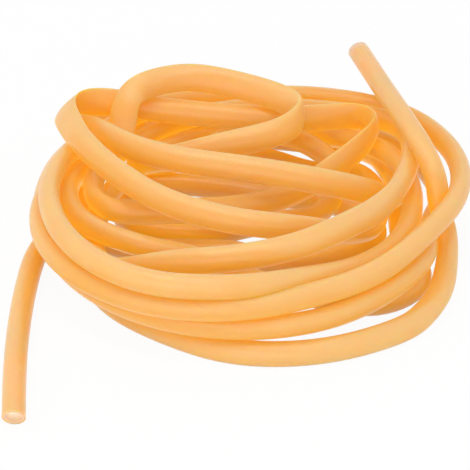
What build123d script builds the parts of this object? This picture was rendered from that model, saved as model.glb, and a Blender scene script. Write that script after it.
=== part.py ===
"""A coil of soft rubber tubing: one long hollow tube, laid in loose turns with its last turns folded on top."""
from build123d import *
from math import cos, pi, radians, sin, tan
import os

os.makedirs("parts", exist_ok=True)

# The tube
TUBE_OD = 10.0  # outside diameter
TUBE_WALL = 1.5
TUBE_BORE = TUBE_OD - 2 * TUBE_WALL

# The coil is sized in tube diameters, because its turns lie on one another: a thicker tube makes a larger coil.
COIL_RADIUS_SHARE = 10.0  # nominal reach of the round turns, in tube diameters
COIL_RADIUS = COIL_RADIUS_SHARE * TUBE_OD
COIL_CENTRE_SHARES = (0.0361, 0.0833)  # the turns' middle in coil radii, from the middle of the whole part
STATION_ANGLE = 24.0  # degrees between two points of a round turn, which runs clockwise
ARC_SHARE = 0.45  # of the shorter run, taken up by the arc at each point

# The far end lies across the back of the coil and dives in under its right side.
# Each point is (x, y) in coil radii from the coil's middle and a height in tube diameters.
FAR_END_SHARES = [
    (0.51, 1.175, 3.9), (0.57, 0.89, 4.2), (0.625, 0.63, 4.5), (0.68, 0.38, 4.8),
    (0.75, 0.15, 4.75), (0.81, 0.05, 3.8), (0.825, -0.01, 2.45), (0.915, -0.09, 1.1),
]

# Six round turns, bottom to top: reach in coil radii at each station from the right side, by the front,
# the left and the back, round to the right side again.
TURN_REACH_SHARES = [
    [0.94, 0.98, 0.945, 0.91, 0.85, 0.855, 0.865, 0.87, 1.02, 1.12, 1.10, 1.10, 1.11, 0.98, 0.77],
    [0.81, 0.845, 0.85, 0.885, 0.915, 0.955, 0.965, 1.01, 1.10, 1.10, 1.06, 1.03, 0.95, 0.73, 0.66],
    [0.84, 0.79, 0.60, 0.51, 0.47, 0.64, 0.82, 0.88, 0.83, 0.83, 0.83, 0.89, 0.98, 0.81, 0.67],
    [0.61, 0.58, 0.61, 0.64, 0.70, 0.83, 0.735, 0.71, 0.72, 0.75, 0.80, 0.82, 0.78, 0.75, 0.73],
    [0.72, 0.72, 0.78, 0.88, 0.98, 0.975, 0.945, 0.91, 0.90, 0.95, 0.95, 1.02, 1.08, 1.03, 0.95],
    [0.84, 0.82, 0.82, 0.90, 0.97, 0.96, 0.955, 0.98, 0.96, 0.98, 0.95, 0.90, 0.86, 0.74],
]
# The height of the tube's middle at the same stations, in tube diameters; half a diameter lies on the floor.
TURN_LEVEL_SHARES = [
    [0.60, 0.50, 0.50, 0.50, 0.50, 0.50, 1.40, 1.60, 0.50, 0.50, 0.50, 0.50, 0.50, 0.50, 1.20],
    [1.75, 1.55, 1.55, 1.60, 1.55, 1.60, 1.60, 1.45, 1.40, 1.60, 1.55, 1.30, 0.60, 0.50, 0.50],
    [0.50, 0.60, 1.10, 1.75, 2.20, 2.60, 2.65, 2.60, 1.80, 2.50, 2.65, 2.50, 2.65, 3.75, 3.60],
    [3.75, 3.95, 3.90, 3.65, 3.25, 1.90, 1.45, 1.55, 1.55, 1.70, 1.60, 1.55, 2.35, 2.75, 2.50],
    [2.95, 3.60, 3.65, 3.70, 3.75, 3.75, 3.75, 3.65, 2.85, 2.95, 2.60, 2.55, 2.60, 2.75, 3.00],
    [2.95, 2.60, 2.65, 2.65, 2.65, 2.65, 2.60, 2.65, 1.65, 0.50, 0.50, 0.60, 1.50, 1.60],
]

# The last turns are no longer round: they cross the top, double back and fold.
UPPER_TURN_SHARES = [
    (0.63, 0.13, 1.6), (0.54, 0.02, 2.95), (0.28, -0.07, 4.0), (-0.03, -0.01, 4.25),
    (-0.31, 0.07, 4.25), (-0.57, 0.23, 4.25), (-0.75, 0.46, 4.4), (-0.84, 0.66, 2.9),
    (-0.64, 0.79, 2.3), (-0.44, 0.74, 1.35), (-0.22, 0.76, 0.5), (0.03, 0.65, 0.5),
    (0.26, 0.56, 0.5), (0.45, 0.46, 0.55), (0.55, 0.25, 0.8), (0.55, -0.03, 1.35),
]
LEFT_FOLD_SHARES = [
    (0.43, -0.26, 2.5), (0.17, -0.37, 3.65), (-0.13, -0.37, 4.05), (-0.41, -0.25, 4.25),
    (-0.62, -0.03, 4.3), (-0.785, 0.20, 4.4), (-0.855, 0.37, 4.45), (-0.885, 0.49, 4.5),
    (-0.85, 0.59, 4.55), (-0.76, 0.645, 4.5), (-0.61, 0.66, 4.1),
]
RIGHT_FOLD_SHARES = [
    (-0.44, 0.645, 3.7), (-0.14, 0.58, 3.75), (0.15, 0.58, 3.45), (0.365, 0.635, 3.3),
    (0.48, 0.65, 3.3), (0.56, 0.58, 3.4), (0.57, 0.46, 3.55), (0.42, 0.28, 3.05),
    (0.19, 0.09, 2.95), (-0.06, -0.05, 2.8), (-0.36, -0.10, 2.7), (-0.58, -0.11, 2.65),
    (-0.69, -0.05, 2.65), (-0.73, 0.08, 2.65), (-0.72, 0.22, 2.75),
]
TOP_LOOP_SHARES = [
    (-0.67, 0.34, 2.9), (-0.61, 0.46, 3.4), (-0.59, 0.58, 4.9), (-0.53, 0.67, 5.2),
    (-0.38, 0.715, 5.15), (-0.22, 0.71, 5.05), (0.03, 0.62, 4.8), (0.17, 0.54, 4.65),
    (0.22, 0.44, 4.55), (0.17, 0.34, 4.45), (0.05, 0.29, 4.25), (-0.12, 0.27, 3.95),
    (-0.34, 0.25, 3.4), (-0.47, 0.27, 3.05), (-0.54, 0.36, 2.8), (-0.53, 0.48, 2.7),
]
# Inside the coil the tube goes round twice more, low down, and leaves under the left side.
INNER_TURN_SHARES = [
    (-0.43, 0.57, 2.7), (-0.29, 0.60, 2.7), (-0.17, 0.63, 2.6), (-0.03, 0.69, 2.4),
    (0.25, 0.67, 1.85), (0.43, 0.47, 1.7), (0.28, 0.22, 1.65), (0.04, 0.07, 1.0),
    (-0.22, 0.05, 0.55), (-0.44, 0.12, 0.5), (-0.53, 0.27, 0.5), (-0.44, 0.43, 0.5),
    (-0.18, 0.49, 0.5), (0.08, 0.46, 0.5), (0.30, 0.34, 0.5), (0.44, 0.14, 0.5),
    (0.44, -0.09, 0.5), (0.26, -0.22, 0.5), (0.0, -0.20, 0.5), (-0.27, -0.13, 0.5),
    (-0.53, 0.02, 0.5), (-0.77, 0.14, 0.5), (-0.925, 0.06, 0.5),
]

# The near end comes out under the left side and lies straight towards the front.
NEAR_END_SHARES = [
    (-0.985, -0.12, 0.5), (-1.01, -0.40, 0.5), (-1.02, -0.70, 0.5), (-1.015, -1.03, 0.5), (-0.995, -1.35, 0.5),
]


def placed(reach_x, reach_y, level):
    """A point of the route from its shares of the coil's radius and of the tube's diameter."""
    return Vector(
        COIL_RADIUS * (COIL_CENTRE_SHARES[0] + reach_x),
        COIL_RADIUS * (COIL_CENTRE_SHARES[1] + reach_y),
        TUBE_OD * level,
    )


def round_turn(reaches, levels):
    """The points of one clockwise turn, a station apart."""
    points = []
    for station, (reach, level) in enumerate(zip(reaches, levels), start=1):
        angle = radians(-STATION_ANGLE * station)
        points.append(placed(reach * cos(angle), reach * sin(angle), level))
    return points


def arc_radius(before, corner, after):
    """The largest easy arc at a corner: it takes its share of the shorter run."""
    run_in = corner - before
    run_out = after - corner
    half_turn = radians(run_in.get_angle(run_out)) / 2
    return ARC_SHARE * min(run_in.length, run_out.length) / tan(half_turn)


# The whole route, from the far end to the near end
route = [placed(*point) for point in FAR_END_SHARES]
for reaches, levels in zip(TURN_REACH_SHARES, TURN_LEVEL_SHARES):
    route += round_turn(reaches, levels)
for folded in (UPPER_TURN_SHARES, LEFT_FOLD_SHARES, RIGHT_FOLD_SHARES, TOP_LOOP_SHARES, INNER_TURN_SHARES):
    route += [placed(*point) for point in folded]
route += [placed(*point) for point in NEAR_END_SHARES]
radii = [arc_radius(*route[i - 1:i + 2]) for i in range(1, len(route) - 1)]

# The tube: a ring swept along straight runs joined by tangent arcs
with BuildPart() as tubing:
    with BuildLine() as middle_line:
        FilletPolyline(*route, radius=radii)
    with BuildSketch(Plane(origin=middle_line.line @ 0, z_dir=middle_line.line % 0)) as section:
        Circle(TUBE_OD / 2)
        Circle(TUBE_BORE / 2, mode=Mode.SUBTRACT)
    sweep(clean=False)

tubing.part.label = "tubing"
export_step(tubing.part, "parts/tubing.step")

section_area = pi * (TUBE_OD ** 2 - TUBE_BORE ** 2) / 4
length = middle_line.wire().length
box = tubing.part.bounding_box()
print(f"route: {len(route)} points, {length:.0f} mm long")
print(f"arc radii: {[round(radius) for radius in radii]}")
print(f"volume {tubing.part.volume:.0f}, section times length {section_area * length:.0f}")
print(f"box {box.min} to {box.max}")
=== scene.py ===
# %% [markdown]
# # A coil of soft rubber tubing
#
# The object is one long tube of amber latex rubber, about 5.2 metres of it, laid in a loose coil. Its lower
# turns are round. Its last turns cross the top, double back and fold, and there the soft wall flattens.
# Both cut ends lie free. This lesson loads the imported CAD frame, lays a smooth line along the same route,
# skins that line with a hollow tube whose section changes along the way, and then sets the material,
# the light and the camera.

from math import cos, pi, radians, sin

import bmesh
import bpy
import numpy as np
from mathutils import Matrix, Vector
from mathutils.bvhtree import BVHTree


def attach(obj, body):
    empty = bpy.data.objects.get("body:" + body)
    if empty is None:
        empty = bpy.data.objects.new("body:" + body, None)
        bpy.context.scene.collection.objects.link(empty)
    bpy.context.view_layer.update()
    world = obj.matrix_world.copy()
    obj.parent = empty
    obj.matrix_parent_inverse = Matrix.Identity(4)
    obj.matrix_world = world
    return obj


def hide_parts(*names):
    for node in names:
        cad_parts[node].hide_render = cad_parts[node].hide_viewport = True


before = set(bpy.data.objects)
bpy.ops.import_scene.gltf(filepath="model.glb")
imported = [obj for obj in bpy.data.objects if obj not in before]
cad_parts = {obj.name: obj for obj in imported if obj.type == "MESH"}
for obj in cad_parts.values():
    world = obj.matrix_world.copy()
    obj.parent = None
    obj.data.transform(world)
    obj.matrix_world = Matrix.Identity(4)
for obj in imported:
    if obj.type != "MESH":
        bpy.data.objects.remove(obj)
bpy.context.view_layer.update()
print("CAD nodes", sorted(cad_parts))

# %% [markdown]
# ## Sizes
#
# Everything is in metres, in the frame of the CAD part: the origin is on the floor under the middle of the
# part, X points right, Y away from the camera and Z up. The tube's diameter and wall and the coil's radius
# are the CAD part's own, and the route is measured in them.

# %% Sizes of the tube and of the coil
TUBE_OD = 0.010
TUBE_WALL = 0.0015
COIL_RADIUS = 0.100
COIL_CENTRE = (0.00361, 0.00833)
STATION_ANGLE = 24.0  # degrees between two points of a round turn
print("bore", round(TUBE_OD - 2 * TUBE_WALL, 4), "m")

# %% [markdown]
# ## The route
#
# A coil like this could be a helix, but a loose one has no rule: each turn lies where the one below lets it.
# So the route is the CAD part's list of points, and two points more. Many of them are moved, by
# less than two tube widths, to follow the strands more closely. Each free point is a place in coil radii
# from the coil's middle and a height in tube diameters. The round turns are rows of reaches and heights
# at stations 24 degrees apart, worked out clockwise from the right side.

# %% The far end and the six round turns
FAR_END_SHARES = [
    (0.51, 1.175, 3.9), (0.57, 0.89, 4.2), (0.625, 0.63, 4.5), (0.68, 0.38, 4.8),
    (0.755, 0.14, 4.65), (0.815, 0.03, 3.8), (0.83, -0.03, 2.45), (0.875, -0.10, 1.1),
]
TURN_REACH_SHARES = [
    [0.92, 0.97, 0.94, 0.905, 0.835, 0.83, 0.84, 0.80, 0.93, 1.12, 1.10, 1.10, 1.11, 0.98, 0.78],
    [0.84, 0.83, 0.86, 0.885, 0.90, 0.925, 0.945, 1.00, 1.10, 1.10, 1.06, 1.03, 0.95, 0.73, 0.66],
    [0.86, 0.78, 0.53, 0.50, 0.47, 0.64, 0.82, 0.88, 0.83, 0.83, 0.83, 0.89, 0.98, 0.81, 0.67],
    [0.61, 0.58, 0.61, 0.64, 0.70, 0.83, 0.735, 0.71, 0.72, 0.75, 0.80, 0.82, 0.78, 0.75, 0.73],
    [0.71, 0.68, 0.725, 0.875, 0.98, 0.975, 0.945, 0.91, 0.90, 0.95, 0.95, 1.02, 1.085, 1.03, 0.94],
    [0.825, 0.80, 0.812, 0.895, 0.97, 1.0, 0.995, 0.945, 0.95, 0.98, 0.95, 0.90, 0.86, 0.74],
]
TURN_LEVEL_SHARES = [
    [0.60, 0.50, 0.50, 0.50, 0.50, 0.50, 1.40, 1.60, 0.50, 0.50, 0.50, 0.50, 0.50, 0.50, 1.20],
    [1.75, 1.55, 1.55, 1.60, 1.55, 1.60, 1.60, 1.45, 1.40, 1.60, 1.55, 1.30, 0.60, 0.50, 0.50],
    [0.50, 0.60, 1.10, 1.75, 2.20, 2.60, 2.65, 2.60, 1.80, 2.50, 2.65, 2.50, 2.65, 3.75, 3.60],
    [3.75, 3.95, 3.90, 3.65, 3.25, 1.90, 1.45, 1.55, 1.55, 1.70, 1.60, 1.55, 2.35, 2.75, 2.50],
    [2.20, 2.20, 2.95, 3.65, 3.75, 3.75, 3.75, 3.65, 2.85, 2.95, 2.60, 2.55, 2.60, 2.75, 3.00],
    [2.95, 2.60, 2.65, 2.65, 2.65, 2.65, 2.60, 2.65, 1.65, 0.50, 0.50, 0.60, 1.50, 1.60],
]
# One point more in the lowest turn, after its first, because that turn has a soft corner at the lower right
LOWER_RIGHT_CORNER_SHARES = (0.765, -0.555, 0.5)
print("round turns", len(TURN_REACH_SHARES))

# %% The folded turns on top and the near end
UPPER_TURN_SHARES = [
    (0.63, 0.13, 1.6), (0.54, 0.02, 2.95), (0.28, -0.06, 4.05), (-0.03, 0.0, 4.3),
    (-0.31, 0.07, 4.25), (-0.57, 0.21, 4.15), (-0.75, 0.45, 3.85), (-0.84, 0.66, 2.5),
    (-0.64, 0.79, 2.3), (-0.44, 0.74, 1.35), (-0.22, 0.79, 0.5), (0.04, 0.75, 0.5),
    (0.30, 0.57, 0.5), (0.53, 0.58, 0.55), (0.59, 0.30, 0.8), (0.55, -0.03, 1.35),
]
LEFT_FOLD_SHARES = [
    (0.43, -0.26, 2.5), (0.17, -0.385, 3.6), (-0.13, -0.385, 4.0), (-0.41, -0.26, 4.2),
    (-0.62, -0.03, 4.3), (-0.775, 0.20, 4.4), (-0.84, 0.37, 4.45), (-0.875, 0.49, 4.5),
    (-0.85, 0.575, 4.35), (-0.76, 0.615, 4.25), (-0.61, 0.645, 4.0),
]
RIGHT_FOLD_SHARES = [
    (-0.44, 0.645, 3.6), (-0.14, 0.58, 3.65), (0.15, 0.58, 3.45), (0.365, 0.635, 3.3),
    (0.48, 0.65, 3.3), (0.56, 0.58, 3.4), (0.57, 0.46, 3.55), (0.42, 0.28, 3.05),
    (0.19, 0.09, 2.4), (-0.06, -0.05, 2.5), (-0.36, -0.10, 2.7), (-0.58, -0.11, 2.65),
    (-0.69, -0.05, 2.65), (-0.73, 0.08, 2.65), (-0.72, 0.22, 2.75),
]
TOP_LOOP_SHARES = [
    (-0.67, 0.34, 2.9), (-0.61, 0.46, 3.4), (-0.59, 0.56, 4.7), (-0.51, 0.635, 5.0),
    (-0.36, 0.70, 5.05), (-0.22, 0.705, 5.0), (0.03, 0.62, 4.8), (0.17, 0.54, 4.65),
    (0.22, 0.44, 4.55), (0.17, 0.34, 4.45), (0.05, 0.29, 4.25), (-0.12, 0.27, 3.95),
    (-0.34, 0.25, 3.4), (-0.47, 0.27, 3.05), (-0.55, 0.36, 2.6), (-0.55, 0.47, 2.0),
]
INNER_TURN_SHARES = [
    (-0.45, 0.50, 1.5), (-0.29, 0.54, 1.5), (-0.17, 0.62, 2.0), (-0.03, 0.69, 2.4),
    (0.25, 0.67, 1.85), (0.43, 0.46, 1.3), (0.32, 0.16, 0.7), (0.06, 0.14, 0.6),
    (-0.22, 0.02, 0.55), (-0.60, 0.10, 0.5), (-0.62, 0.32, 0.5), (-0.50, 0.51, 0.5),
    (-0.18, 0.465, 0.5), (0.09, 0.375, 0.5), (0.33, 0.35, 0.5), (0.56, 0.18, 0.5),
    (0.57, -0.06, 0.5), (0.30, -0.16, 0.5), (0.10, -0.22, 0.5), (-0.06, -0.09, 0.5),
    (-0.27, -0.08, 0.5), (-0.57, -0.08, 0.5), (-0.79, 0.05, 0.5), (-0.925, 0.04, 0.5),
]
NEAR_END_SHARES = [
    (-0.985, -0.12, 0.5), (-1.01, -0.40, 0.5), (-1.02, -0.70, 0.5),
    (-1.015, -1.03, 0.5), (-0.995, -1.35, 0.5),
]
FOLDED_STRETCHES = {
    "upper turn": UPPER_TURN_SHARES,
    "left fold": LEFT_FOLD_SHARES,
    "right fold": RIGHT_FOLD_SHARES,
    "top loop": TOP_LOOP_SHARES,
    "inner turn": INNER_TURN_SHARES,
    "near end": NEAR_END_SHARES,
}
print("folded stretches", list(FOLDED_STRETCHES))


# %% Put the route together
def placed(reach_x, reach_y, level):
    """A point of the route from its shares of the coil's radius and of the tube's diameter."""
    return Vector((
        COIL_CENTRE[0] + COIL_RADIUS * reach_x,
        COIL_CENTRE[1] + COIL_RADIUS * reach_y,
        TUBE_OD * level,
    ))


def round_turn(reaches, levels):
    """The points of one clockwise turn, a station apart."""
    points = []
    for station, (reach, level) in enumerate(zip(reaches, levels), start=1):
        angle = radians(-STATION_ANGLE * station)
        points.append(placed(reach * cos(angle), reach * sin(angle), level))
    return points


stretches = {"far end": [placed(*point) for point in FAR_END_SHARES]}
for number, (reaches, levels) in enumerate(zip(TURN_REACH_SHARES, TURN_LEVEL_SHARES), start=1):
    stretches[f"turn {number}"] = round_turn(reaches, levels)
stretches["turn 1"].insert(1, placed(*LOWER_RIGHT_CORNER_SHARES))
for name, shares in FOLDED_STRETCHES.items():
    stretches[name] = [placed(*point) for point in shares]
route = [point for points in stretches.values() for point in points]
print("route points", len(route))

# %% [markdown]
# ## One smooth line
#
# The points steer a NURBS spline, so the line bends as evenly as a soft tube does. A curve without a bevel
# turns into a plain row of vertices, and these become the centres of the tube's rings. The spline's order
# is set after its points are added: set before, it would stay at 2, which is straight runs.

# %% Read the ring centres from the spline
RINGS_PER_POINT = 8


def smooth_line(points):
    """The vertices of a NURBS spline steered by the points."""
    curve = bpy.data.curves.new("route", "CURVE")
    curve.dimensions = "3D"
    spline = curve.splines.new("NURBS")
    spline.points.add(len(points) - 1)
    for knot, point in zip(spline.points, points):
        knot.co = (*point, 1.0)
    spline.order_u = 3
    spline.use_endpoint_u = True
    spline.resolution_u = RINGS_PER_POINT
    holder = bpy.data.objects.new("route", curve)
    line = bpy.data.meshes.new_from_object(holder)
    centres = np.array([vertex.co[:] for vertex in line.vertices])
    bpy.data.objects.remove(holder)
    bpy.data.curves.remove(curve)
    bpy.data.meshes.remove(line)
    return centres


centres = smooth_line(route)
steps = np.linalg.norm(np.diff(centres, axis=0), axis=1)
along = np.concatenate(([0.0], np.cumsum(steps)))
print("rings", len(centres), "length", round(along[-1], 3), "m")

# %% [markdown]
# ## The section along the way
#
# A soft tube isn't round everywhere, so a curve with a round bevel wouldn't do. Each ring has a wide axis,
# a flatness and a crease. At flatness 0 the section is a circle, and at 0.5 it is half as thick. The wall
# keeps its length around, so what the section loses in thickness it gains in width. A crease draws the
# section to an edge at both ends of its wide axis, as on a tube that was folded flat. Two things flatten
# the tube: some stretches took a set and lie as a band, and wherever the line bends tightly the wall gives
# way and the section stands across the bend.

# %% Stretches that took a set
# Leans, in degrees: how far the section's wide axis is turned up from level
LEVEL = 5.0  # almost
FACING_LEFTWARDS = 57.0  # a strand that runs left shows the camera its broad side
FACING_RIGHTWARDS = 123.0  # and so does one that runs right
UPRIGHT = 90.0
LYING_OVER = 180.0  # level again, turned right over

RESTING_FLATNESS_SHARE = 0.06  # wherever the table says nothing
SET_STRETCHES = [  # stretch, first and last point, flatness share, lean, crease share
    ("far end", 0, 7, 0.0, UPRIGHT, 0.0),
    ("near end", 0, 4, 0.0, UPRIGHT, 0.0),
    ("turn 1", 0, 0, 0.08, LEVEL, 0.0),
    ("turn 1", 1, 1, 0.20, LEVEL, 0.0),
    ("turn 1", 2, 2, 0.18, 35.0, 0.0),
    ("turn 1", 3, 4, 0.13, FACING_LEFTWARDS, 0.0),
    ("turn 1", 5, 6, 0.06, FACING_LEFTWARDS, 0.0),
    ("turn 4", 0, 4, 0.22, FACING_LEFTWARDS, 0.15),
    ("turn 5", 1, 7, 0.10, FACING_LEFTWARDS, 0.0),
    ("turn 6", 1, 7, 0.10, FACING_LEFTWARDS, 0.0),
    ("upper turn", 1, 6, 0.24, FACING_LEFTWARDS, 0.15),
    ("left fold", 1, 4, 0.22, FACING_LEFTWARDS, 0.15),
    ("left fold", 5, 5, 0.30, 50.0, 0.35),
    ("left fold", 6, 6, 0.50, 44.0, 0.50),
    ("left fold", 7, 7, 0.66, 42.0, 0.60),
    ("left fold", 8, 8, 0.70, 62.0, 0.60),
    ("left fold", 9, 9, 0.58, 100.0, 0.45),
    ("left fold", 10, 10, 0.32, FACING_RIGHTWARDS, 0.25),
    ("right fold", 0, 2, 0.24, FACING_RIGHTWARDS, 0.15),
    ("right fold", 3, 3, 0.36, 110.0, 0.30),
    ("right fold", 4, 6, 0.62, UPRIGHT, 0.60),
    ("right fold", 7, 7, 0.34, 70.0, 0.35),
    ("right fold", 8, 11, 0.16, FACING_LEFTWARDS, 0.10),
    ("top loop", 0, 0, 0.20, 135.0, 0.10),
    ("top loop", 1, 2, 0.46, LYING_OVER, 0.40),
    ("top loop", 3, 7, 0.42, FACING_RIGHTWARDS, 0.20),
    ("top loop", 8, 8, 0.50, UPRIGHT, 0.35),
    ("top loop", 9, 12, 0.32, FACING_LEFTWARDS, 0.20),
]
first_point = {}
count = 0
for name, points in stretches.items():
    first_point[name] = count
    count += len(points)
point_flatness = np.full(len(route), RESTING_FLATNESS_SHARE)
point_lean = np.full(len(route), UPRIGHT)
point_crease = np.zeros(len(route))
point_by_hand = np.zeros(len(route))
for name, first, last, flat_share, lean_angle, crease_share in SET_STRETCHES:
    chosen = slice(first_point[name] + first, first_point[name] + last + 1)
    point_flatness[chosen] = flat_share
    point_lean[chosen] = lean_angle
    point_crease[chosen] = crease_share
    point_by_hand[chosen] = 1.0
print("points with a set of their own", int(point_by_hand.sum()), "of", len(route))

# %% Spread the set over the rings
SET_EASE = 0.012  # length of tube over which a set comes and goes
# Where along the spline each point has its say: its ends are pinned, the rest lie half a span in.
spans = len(route) - 2
point_span = np.clip(np.arange(len(route)) - 0.5, 0.0, spans)
ring_span = np.linspace(0.0, spans, len(centres))


def eased(values, reach):
    """Values along the rings, averaged over a reach of the tube in metres."""
    width = max(1, int(reach / steps.mean()))
    window = np.hanning(2 * width + 3)[1:-1]
    padded = np.pad(values, width, mode="edge")
    return np.convolve(padded, window / window.sum(), mode="valid")


def along_rings(values):
    """Values given at the route's points, spread over the rings and eased."""
    return eased(np.interp(ring_span, point_span, values), SET_EASE)


set_flatness = along_rings(point_flatness)
set_lean = along_rings(point_lean)
crease = along_rings(point_crease)
by_hand = along_rings(point_by_hand)
print("flattest set", round(set_flatness.max(), 2))

# %% Each ring's own directions and its bend
BEND_EASE = 0.006
TINY = 1e-9  # keeps a division by nothing from failing


def unit(arrows):
    """Arrows of length 1 in the same directions."""
    return arrows / np.maximum(np.linalg.norm(arrows, axis=1, keepdims=True), TINY)


def eased_arrows(arrows):
    """Arrows along the rings, each of their three numbers eased."""
    return np.stack([eased(arrows[:, axis], BEND_EASE) for axis in range(3)], axis=1)


tangents = unit(np.gradient(centres, axis=0))
turning = eased_arrows(np.gradient(tangents, axis=0) / np.gradient(along)[:, None])
bend = np.linalg.norm(turning, axis=1)
sides = unit(np.cross(tangents, (0.0, 0.0, 1.0)))
ups = np.cross(sides, tangents)
print("tightest bend radius", round(1 / bend.max(), 4), "m")

# %% Blend the set and the folds into one section
EASY_BEND_RADIUS = 0.040  # a wider bend leaves the section as it is
FOLD_RADIUS = 0.013  # at this bend the wall has given way
FOLD_FLATNESS_SHARE = 0.50
FOLD_SUDDENNESS = 1.5  # above 1, the wall holds at first and then gives way quickly
FOLD_EASE = 0.008
TURN_OVER = 3.0  # how early in a fold the section stands across the bend
LEAST_FLATNESS = 1e-6  # keeps the share defined where the tube is round

easy_bend = 1 / EASY_BEND_RADIUS
fold = np.clip((bend - easy_bend) / (1 / FOLD_RADIUS - easy_bend), 0.0, 1.0)
fold = eased(fold ** FOLD_SUDDENNESS, FOLD_EASE)
gives_way = FOLD_FLATNESS_SHARE * fold * (1 - by_hand)
flatness = np.maximum(set_flatness, gives_way)
lean = np.radians(set_lean)[:, None]
set_wide = np.cos(lean) * sides + np.sin(lean) * ups
across_bend = unit(np.cross(tangents, turning))
across_bend *= np.where(np.sum(across_bend * set_wide, axis=1, keepdims=True) < 0, -1.0, 1.0)
share = np.clip(gives_way / (flatness + LEAST_FLATNESS), 0.0, 1.0) * np.clip(TURN_OVER * fold, 0.0, 1.0)
share = share[:, None]
wide = eased_arrows(set_wide * (1 - share) + across_bend * share)
wide = unit(wide - tangents * np.sum(wide * tangents, axis=1, keepdims=True))
thin = np.cross(tangents, wide)
print("flatness from", round(flatness.min(), 2), "to", round(flatness.max(), 2))

# %% [markdown]
# ## The tube
#
# One skin outside, a flat ring at each cut end, and the bore as far in as anyone can look. The cut ends
# aren't quite square. A strand that lies on the floor is pressed flat underneath.

# %% Sections of the tube
AROUND = 36  # points around a ring
THINNEST_BORE = 0.0002  # half the bore's height where the tube is folded flat
BORE_SHOWN = 0.040  # how far in from a cut end the bore is made
CUT_REACH = 0.012  # how far in from a cut end the slant of the cut is still felt
FAR_CUT_SLANT = np.array((-0.10, -0.28, 0.42))  # how far a point moves along the tube, by its place
NEAR_CUT_SLANT = np.array((0.12, 0.0, 0.40))
to_far_end = along
to_near_end = along[-1] - along


def ring_points(ring, inset):
    """The points around one ring, inset from the outside by a length."""
    radius = TUBE_OD / 2
    half_thick = radius * (1 - flatness[ring])
    half_wide = (2 * radius ** 2 - half_thick ** 2) ** 0.5
    angles = np.arange(AROUND) * 2 * pi / AROUND
    drawn = (1 - crease[ring]) + crease[ring] * np.abs(np.sin(angles))
    across = np.cos(angles) * (half_wide - inset)
    through = np.sin(angles) * drawn * max(half_thick - inset, THINNEST_BORE)
    offsets = np.outer(across, wide[ring]) + np.outer(through, thin[ring])
    slant = (max(0.0, 1 - to_far_end[ring] / CUT_REACH) * FAR_CUT_SLANT
             + max(0.0, 1 - to_near_end[ring] / CUT_REACH) * NEAR_CUT_SLANT)
    points = centres[ring] + offsets + np.outer(offsets @ slant, tangents[ring])
    points[:, 2] = np.maximum(points[:, 2], inset)  # a strand on the floor is flat underneath
    return points


print("points around a ring", AROUND)


# %% Skin the line
RIM_ANGLE = 50.0  # degrees, past which an edge stays sharp, as at the rims of the cut ends


def skin(work, rings):
    """Quads between rows of vertices that follow one another."""
    for row, next_row in zip(rings, rings[1:]):
        for corner in range(AROUND):
            after = (corner + 1) % AROUND
            work.faces.new((row[corner], row[after], next_row[after], next_row[corner]))


def tube_mesh(name):
    """A closed skin of outside, cut ends and two bores, and each row's ring and whether it is in a bore."""
    work = bmesh.new()
    order = []

    def row(ring, inset):
        order.append((ring, inset > 0))
        return [work.verts.new(point) for point in ring_points(ring, inset)]

    outside = [row(ring, 0.0) for ring in range(len(centres))]
    skin(work, outside)
    far_mouth = np.flatnonzero(to_far_end <= BORE_SHOWN)
    near_mouth = np.flatnonzero(to_near_end <= BORE_SHOWN)[::-1]
    for rim, inward in ((outside[0], far_mouth), (outside[-1], near_mouth)):
        bore = [row(ring, TUBE_WALL) for ring in inward]
        skin(work, [rim] + bore)
        work.faces.new(bore[-1])
    bmesh.ops.recalc_face_normals(work, faces=work.faces)
    mesh = bpy.data.meshes.new(name)
    work.to_mesh(mesh)
    work.free()
    return mesh, order


mesh, rows = tube_mesh("tubing_coil")
mesh.shade_smooth()
mesh.set_sharp_from_angle(angle=radians(RIM_ANGLE))
tube = bpy.data.objects.new("tubing_coil", mesh)
bpy.context.scene.collection.objects.link(tube)
print("tube faces", len(mesh.polygons))

# %% [markdown]
# ## How deep in the coil
#
# Latex glows: light that has passed through other strands comes out deeper in colour. Here that is painted
# shade.
# Each vertex looks out along a fixed fan of directions, and the share of them that meet rubber close by says
# how deep it lies. To that comes a share of its ring's mean, none on top of a strand and most on its
# underside, so undersides get deeper painted shade too. The result is stored as the attribute "buried", and
# the material paints a deeper orange with it.

# %% Look out from every vertex
LOOK_DISTANCE = 0.060
LOOK_START = TUBE_WALL / 4  # how far off the surface a look starts
LOOKS = 28
GRAZING = 0.1  # looks that leave the surface at a flatter slope don't count


def look_fan():
    """Directions spread evenly over a ball, on a golden spiral."""
    fan = []
    for index in range(LOOKS):
        height = 1 - 2 * (index + 0.5) / LOOKS
        ring = (1 - height * height) ** 0.5
        turn = index * pi * (3 - 5 ** 0.5)
        fan.append(Vector((ring * cos(turn), ring * sin(turn), height)))
    return fan


def near_rubber_shares(mesh):
    """For each vertex, the share of its outward looks that soon meet the mesh again."""
    tree = BVHTree.FromPolygons(
        [vertex.co for vertex in mesh.vertices], [polygon.vertices[:] for polygon in mesh.polygons])
    fan = look_fan()
    shares = []
    for vertex in mesh.vertices:
        normal = vertex.normal
        start = vertex.co + normal * LOOK_START
        seen, met = 0.0, 0.0
        for direction in fan:
            facing = direction.dot(normal)
            if facing > GRAZING:
                seen += facing
                if tree.ray_cast(start, direction, LOOK_DISTANCE)[0] is not None:
                    met += facing
        shares.append(met / seen)
    return np.array(shares)


near_rubber = near_rubber_shares(mesh)
print("rubber close by, mean share", round(float(near_rubber.mean()), 2))
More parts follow.
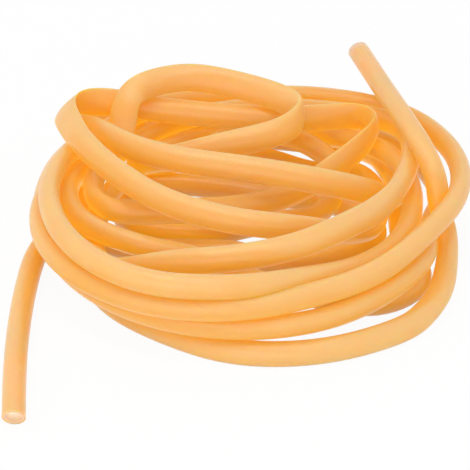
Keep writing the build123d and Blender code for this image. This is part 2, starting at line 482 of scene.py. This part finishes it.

# %% How deep each vertex lies
# painted shade: "buried" turns the rubber deep orange in the gaps between strands and on their undersides
OWN_SHARE = 0.6
RING_SHARE = 0.4
RING_EASE = 0.010
row_ring = np.array([ring for ring, inside in rows])
row_inside = np.array([inside for ring, inside in rows])
ring_depth = near_rubber.reshape(len(rows), AROUND).mean(axis=1)
ring_depth[~row_inside] = eased(ring_depth[~row_inside], RING_EASE)
downward = np.array([1 - vertex.normal.z for vertex in mesh.vertices])
buried = OWN_SHARE * near_rubber + RING_SHARE * np.repeat(ring_depth, AROUND) * downward
buried = np.clip(buried, 0.0, 1.0)
print("buried, mean", round(float(buried.mean()), 2))

# %% [markdown]
# ## What the vertices tell the material
#
# Besides "buried", a vertex keeps how far along the tube and how far around it lies, for the draw lines.
# "mouth" is 1 inside the bores and less at their rims, and on the outside it fades within a few millimetres
# of the far cut, where the tube is painted paler; inside the bores it carries painted light, as if lit
# through the wall.
# "hollow" is 1 as far in as the bore is made, where only the wall is left, and fades over as much again.

# %% Store the attributes
LIT_DEPTH = 0.004  # the bore gets paler by 1 in this depth, until it is as pale as it can be
PALE_END = 0.007  # how far from the far cut the outside is pale
FAR_PALENESS = 0.65  # of the outside, at the far cut
RIM_PALENESS = 0.50  # of the bore, at its rim
# painted light: "mouth" pales the bores towards cream, and the outside near the far cut too
to_end = np.minimum(to_far_end, to_near_end)[row_ring]
pale_end = FAR_PALENESS * (1 - to_far_end[row_ring] / PALE_END)
mouth = np.where(row_inside, RIM_PALENESS + to_end / LIT_DEPTH, pale_end)
fields = {
    "along": np.repeat(along[row_ring], AROUND),
    "around": np.tile(np.arange(AROUND) / AROUND, len(rows)),
    "buried": buried,
    "mouth": np.repeat(np.clip(mouth, 0.0, 1.0), AROUND),
    "hollow": np.repeat(np.clip(2 - to_end / BORE_SHOWN, 0.0, 1.0), AROUND),
}
for name, values in fields.items():
    mesh.attributes.new(name, "FLOAT", "POINT").data.foreach_set("value", values.astype(np.float32))
print("attributes", list(fields))

# %% [markdown]
# ## The rubber
#
# Amber latex, apricot where a strand lies free. The deep orange where it is buried among others is painted
# shade, and the almost cream inside the cut ends is painted light. The surface is satin, with a dusty bloom
# and the faint lengthwise draw lines
# of an extruded tube. The material is built from small helpers, one for each thing that the eye sees:
# colour with its painted shade and light, relief and light inside. All the patterns hang on the object's own
# place or on the attributes.

# %% Helpers for nodes
def attribute(tree, name):
    """A named mesh attribute as a plain number."""
    node = tree.nodes.new("ShaderNodeAttribute")
    node.attribute_name = name
    return node.outputs["Fac"]


def blend(tree, factor, first, second):
    """A colour between two, by a factor."""
    node = tree.nodes.new("ShaderNodeMix")
    node.data_type = "RGBA"
    tree.links.new(factor, node.inputs["Factor"])
    for socket, colour in ((node.inputs["A"], first), (node.inputs["B"], second)):
        if isinstance(colour, tuple):
            socket.default_value = colour
        else:
            tree.links.new(colour, socket)
    return node.outputs["Result"]


def reckon(tree, operation, *terms):
    """One step of arithmetic on numbers or sockets, kept between 0 and 1 where it adds."""
    node = tree.nodes.new("ShaderNodeMath")
    node.operation = operation
    node.use_clamp = operation == "ADD"
    for socket, term in zip(node.inputs, terms):
        if isinstance(term, (int, float)):
            socket.default_value = term
        else:
            tree.links.new(term, socket)
    return node.outputs["Value"]


def noise(tree, place, scale, detail):
    """Soft noise over a place."""
    node = tree.nodes.new("ShaderNodeTexNoise")
    node.inputs["Scale"].default_value = scale
    node.inputs["Detail"].default_value = detail
    tree.links.new(place, node.inputs["Vector"])
    return node.outputs["Fac"]


# %% Colour
# painted shade: the tones go from free to buried as a strand lies deeper in the coil, deeper orange in gaps
# and on undersides
FREE_TONE = (0.860, 0.538, 0.203, 1.0)
LYING_SHADE_TONE = (0.835, 0.455, 0.114, 1.0)
BURIED_SHADE_TONE = (0.820, 0.412, 0.050, 1.0)
# painted light: almost cream inside the cut ends, as if lit through the wall
MOUTH_LIGHT_TONE = (0.80, 0.700, 0.620, 1.0)
LYING_AT = 0.21  # how deep a strand lies where it has each tone
BURIED_AT = 0.80
CLOUDINESS = 0.14  # how much the clouds in the rubber change that depth


def tone_with_painted_shade_and_light(tree, cloud):
    """The rubber's colour with painted shade, deeper the deeper a strand lies, a little cloudy, and painted
    light, pale inside the mouths.
    """
    depth = reckon(tree, "MULTIPLY_ADD", cloud, CLOUDINESS, -CLOUDINESS / 2)
    depth = reckon(tree, "ADD", depth, attribute(tree, "buried"))
    ramp = tree.nodes.new("ShaderNodeValToRGB")
    ramp.color_ramp.interpolation = "EASE"
    stops = ramp.color_ramp.elements
    stops[0].position = 0.0
    stops[0].color = FREE_TONE
    stops[1].position = BURIED_AT
    stops[1].color = BURIED_SHADE_TONE
    stops.new(LYING_AT).color = LYING_SHADE_TONE
    tree.links.new(depth, ramp.inputs["Fac"])
    return blend(tree, attribute(tree, "mouth"), ramp.outputs["Color"], MOUTH_LIGHT_TONE)


print("tones, free to buried", FREE_TONE[:3], LYING_SHADE_TONE[:3], BURIED_SHADE_TONE[:3])

# %% Relief
LINE_BREAKS = 30.0  # how often a draw line changes, in each metre of the tube
LINES_AROUND = 24.0
LINE_SHARE = 0.8  # how much the lines count beside the dust
DUST_SCALE = 900.0
RELIEF_DETAIL = 2.0
RELIEF_STRENGTH = 0.07
RELIEF_HEIGHT = 0.0004


def rubber_relief(tree, place):
    """Fine dust and lengthwise draw lines."""
    lines_at = tree.nodes.new("ShaderNodeCombineXYZ")
    tree.links.new(reckon(tree, "MULTIPLY", attribute(tree, "along"), LINE_BREAKS), lines_at.inputs["X"])
    tree.links.new(reckon(tree, "MULTIPLY", attribute(tree, "around"), LINES_AROUND), lines_at.inputs["Y"])
    lines = noise(tree, lines_at.outputs["Vector"], 1.0, RELIEF_DETAIL)
    dust = noise(tree, place, DUST_SCALE, RELIEF_DETAIL)
    bump = tree.nodes.new("ShaderNodeBump")
    bump.inputs["Strength"].default_value = RELIEF_STRENGTH
    bump.inputs["Distance"].default_value = RELIEF_HEIGHT
    tree.links.new(reckon(tree, "MULTIPLY_ADD", lines, LINE_SHARE, dust), bump.inputs["Height"])
    return bump.outputs["Normal"]


print("relief", RELIEF_HEIGHT, "m at strength", RELIEF_STRENGTH)

# %% [markdown]
# ## Light inside the rubber
#
# Subsurface scattering spreads light within a strand: red furthest, blue hardly at all. It spreads less
# where the bore leaves only the wall. Scattering ends at a strand's own skin, though, and in a real coil
# light goes on from strand to strand, so that even the deepest gaps are bright orange. A weak glow that
# grows with "buried" stands for that light. It is pale in the bores, which are lit through the wall.

# %% Light inside
SCATTER = (1.0, 0.45, 0.12)
SOLID_SCATTER_DEPTH = 0.008
WALL_SCATTER_DEPTH = 0.002
PASSED_TONE = (0.46, 0.330, 0.015, 1.0)
MOUTH_GLOW = (0.68, 0.710, 0.620, 1.0)
PASSED_LIGHT = 0.33
DEEPEST_LIGHT = 0.42  # what is added in the deepest gaps
DEEPEST_POWER = 3.0


def scatter_depth(tree):
    """How far light spreads in the rubber: less where the bore leaves only the wall."""
    less = WALL_SCATTER_DEPTH - SOLID_SCATTER_DEPTH
    return reckon(tree, "MULTIPLY_ADD", attribute(tree, "hollow"), less, SOLID_SCATTER_DEPTH)


def passed_light(tree):
    """How much light reaches the eye through other strands: more, the deeper a strand is buried."""
    passed = reckon(tree, "MULTIPLY", attribute(tree, "buried"), PASSED_LIGHT)
    deepest = reckon(tree, "POWER", attribute(tree, "buried"), DEEPEST_POWER)
    return reckon(tree, "MULTIPLY_ADD", deepest, DEEPEST_LIGHT, passed)


print("scatter depth", SOLID_SCATTER_DEPTH, "m, in the wall", WALL_SCATTER_DEPTH, "m")

# %% Put the rubber together
CLOUD_SCALE = 55.0
CLOUD_DETAIL = 3.0
SMOOTHEST = 0.29  # roughness; where it wandered across about 0.28, the render showed hard-edged patches
ROUGHNESS_SPREAD = 0.08
SPECULAR = 0.5
SHEEN = 0.12
SHEEN_ROUGHNESS = 0.4


def rubber_material():
    """Translucent amber rubber with a satin surface."""
    material = bpy.data.materials.new("amber_latex")
    material.use_nodes = True
    tree = material.node_tree
    tree.nodes.clear()
    out = tree.nodes.new("ShaderNodeOutputMaterial")
    rubber = tree.nodes.new("ShaderNodeBsdfPrincipled")
    tree.links.new(rubber.outputs["BSDF"], out.inputs["Surface"])
    place = tree.nodes.new("ShaderNodeTexCoord").outputs["Object"]
    cloud = noise(tree, place, CLOUD_SCALE, CLOUD_DETAIL)
    roughness = reckon(tree, "MULTIPLY_ADD", cloud, ROUGHNESS_SPREAD, SMOOTHEST)
    tree.links.new(tone_with_painted_shade_and_light(tree, cloud), rubber.inputs["Base Color"])
    tree.links.new(rubber_relief(tree, place), rubber.inputs["Normal"])
    tree.links.new(roughness, rubber.inputs["Roughness"])
    rubber.inputs["Specular IOR Level"].default_value = SPECULAR
    rubber.inputs["Subsurface Weight"].default_value = 1.0
    rubber.inputs["Subsurface Radius"].default_value = SCATTER
    tree.links.new(scatter_depth(tree), rubber.inputs["Subsurface Scale"])
    rubber.inputs["Sheen Weight"].default_value = SHEEN
    rubber.inputs["Sheen Roughness"].default_value = SHEEN_ROUGHNESS
    glow_tone = blend(tree, attribute(tree, "mouth"), PASSED_TONE, MOUTH_GLOW)
    tree.links.new(glow_tone, rubber.inputs["Emission Color"])
    tree.links.new(passed_light(tree), rubber.inputs["Emission Strength"])
    return material


mesh.materials.append(rubber_material())
print("material", mesh.materials[0].name)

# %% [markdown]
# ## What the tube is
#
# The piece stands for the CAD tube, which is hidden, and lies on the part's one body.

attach(tube, "root")
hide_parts("tubing")
print("cord length", round(float(along[-1]), 3))

# %% [markdown]
# ## Stage, light and camera
#
# The coil lies on a white table. To the camera, and in reflections, the table is almost plain white: most
# of what they see is an even glow of strength 1, and the rest is lit and keeps a faint shadow. The world is
# an even white. A narrow strip lamp overhead draws soft lines of light along the strands, and a broad lamp
# in front, a little from the left, fills in.

# %% Floor
FLOOR_SIZE = 6.0
FLOOR_COLOUR = (0.95, 0.95, 0.95, 1.0)
FLOOR_GLOW_SHARE = 0.94
WHITE = (1.0, 1.0, 1.0, 1.0)


def floor_material():
    """Matt and pale, with an even white glow for the camera and for reflections."""
    material = bpy.data.materials.new("white_table")
    material.use_nodes = True
    nodes, links = material.node_tree.nodes, material.node_tree.links
    nodes.clear()
    out = nodes.new("ShaderNodeOutputMaterial")
    mix = nodes.new("ShaderNodeMixShader")
    seen = nodes.new("ShaderNodeLightPath")
    matt = nodes.new("ShaderNodeBsdfDiffuse")
    matt.inputs["Color"].default_value = FLOOR_COLOUR
    white = nodes.new("ShaderNodeEmission")
    white.inputs["Color"].default_value = WHITE
    direct = seen.outputs["Is Camera Ray"]
    for kind in ("Is Glossy Ray", "Is Transmission Ray"):
        direct = reckon(material.node_tree, "MAXIMUM", direct, seen.outputs[kind])
    glow = reckon(material.node_tree, "MULTIPLY", direct, FLOOR_GLOW_SHARE)
    links.new(glow, mix.inputs["Fac"])
    links.new(matt.outputs["BSDF"], mix.inputs[1])
    links.new(white.outputs["Emission"], mix.inputs[2])
    links.new(mix.outputs["Shader"], out.inputs["Surface"])
    return material


half = FLOOR_SIZE / 2
floor_corners = [(-half, -half, 0), (half, -half, 0), (half, half, 0), (-half, half, 0)]
floor_mesh = bpy.data.meshes.new("floor")
floor_mesh.from_pydata(floor_corners, [], [(0, 1, 2, 3)])
floor_mesh.materials.append(floor_material())
floor = bpy.data.objects.new("floor", floor_mesh)
bpy.context.scene.collection.objects.link(floor)
print("floor", FLOOR_SIZE, "m wide")

# %% World and lamps
WORLD_STRENGTH = 0.79
COIL_MIDDLE_HEIGHT = 0.03
COIL_MIDDLE = Vector((*COIL_CENTRE, COIL_MIDDLE_HEIGHT))

world = bpy.data.worlds.new("studio")
world.use_nodes = True
background = world.node_tree.nodes["Background"]
background.inputs["Color"].default_value = WHITE
background.inputs["Strength"].default_value = WORLD_STRENGTH
bpy.context.scene.world = world


def soft_light(name, place, width, depth, watts):
    """A rectangular lamp that looks at the middle of the coil."""
    data = bpy.data.lights.new(name, "AREA")
    data.shape = "RECTANGLE"
    data.size = width
    data.size_y = depth
    data.energy = watts
    lamp = bpy.data.objects.new(name, data)
    lamp.location = place
    lamp.rotation_euler = (COIL_MIDDLE - Vector(place)).to_track_quat("-Z", "Y").to_euler()
    bpy.context.scene.collection.objects.link(lamp)
    print("lamp", name, watts, "W")


soft_light("overhead", place=(-0.15, -0.20, 1.20), width=1.2, depth=0.12, watts=2.9)
soft_light("front", place=(-0.4, -1.2, 0.55), width=1.2, depth=0.8, watts=3.6)

# %% Camera
AIM_RIGHT = -0.0085  # where the camera looks, from the coil's middle on the floor
AIM_BACK = -0.0190
AIM_UP = 0.0200
CAMERA_TARGET = Vector((COIL_CENTRE[0] + AIM_RIGHT, COIL_CENTRE[1] + AIM_BACK, AIM_UP))
CAMERA_DISTANCE = 1.200
CAMERA_ELEVATION = 32.5  # degrees
CAMERA_LENS = 206.8
SENSOR_WIDTH = 36.0

camera_data = bpy.data.cameras.new("camera")
camera_data.lens = CAMERA_LENS
camera_data.sensor_width = SENSOR_WIDTH
camera = bpy.data.objects.new("camera", camera_data)
elevation = radians(CAMERA_ELEVATION)
camera.location = CAMERA_TARGET + CAMERA_DISTANCE * Vector((0.0, -cos(elevation), sin(elevation)))
camera.rotation_euler = (pi / 2 - elevation, 0.0, 0.0)
bpy.context.scene.collection.objects.link(camera)
bpy.context.scene.camera = camera
bpy.context.scene.view_settings.view_transform = "Standard"
print("camera at", [round(value, 3) for value in camera.location])
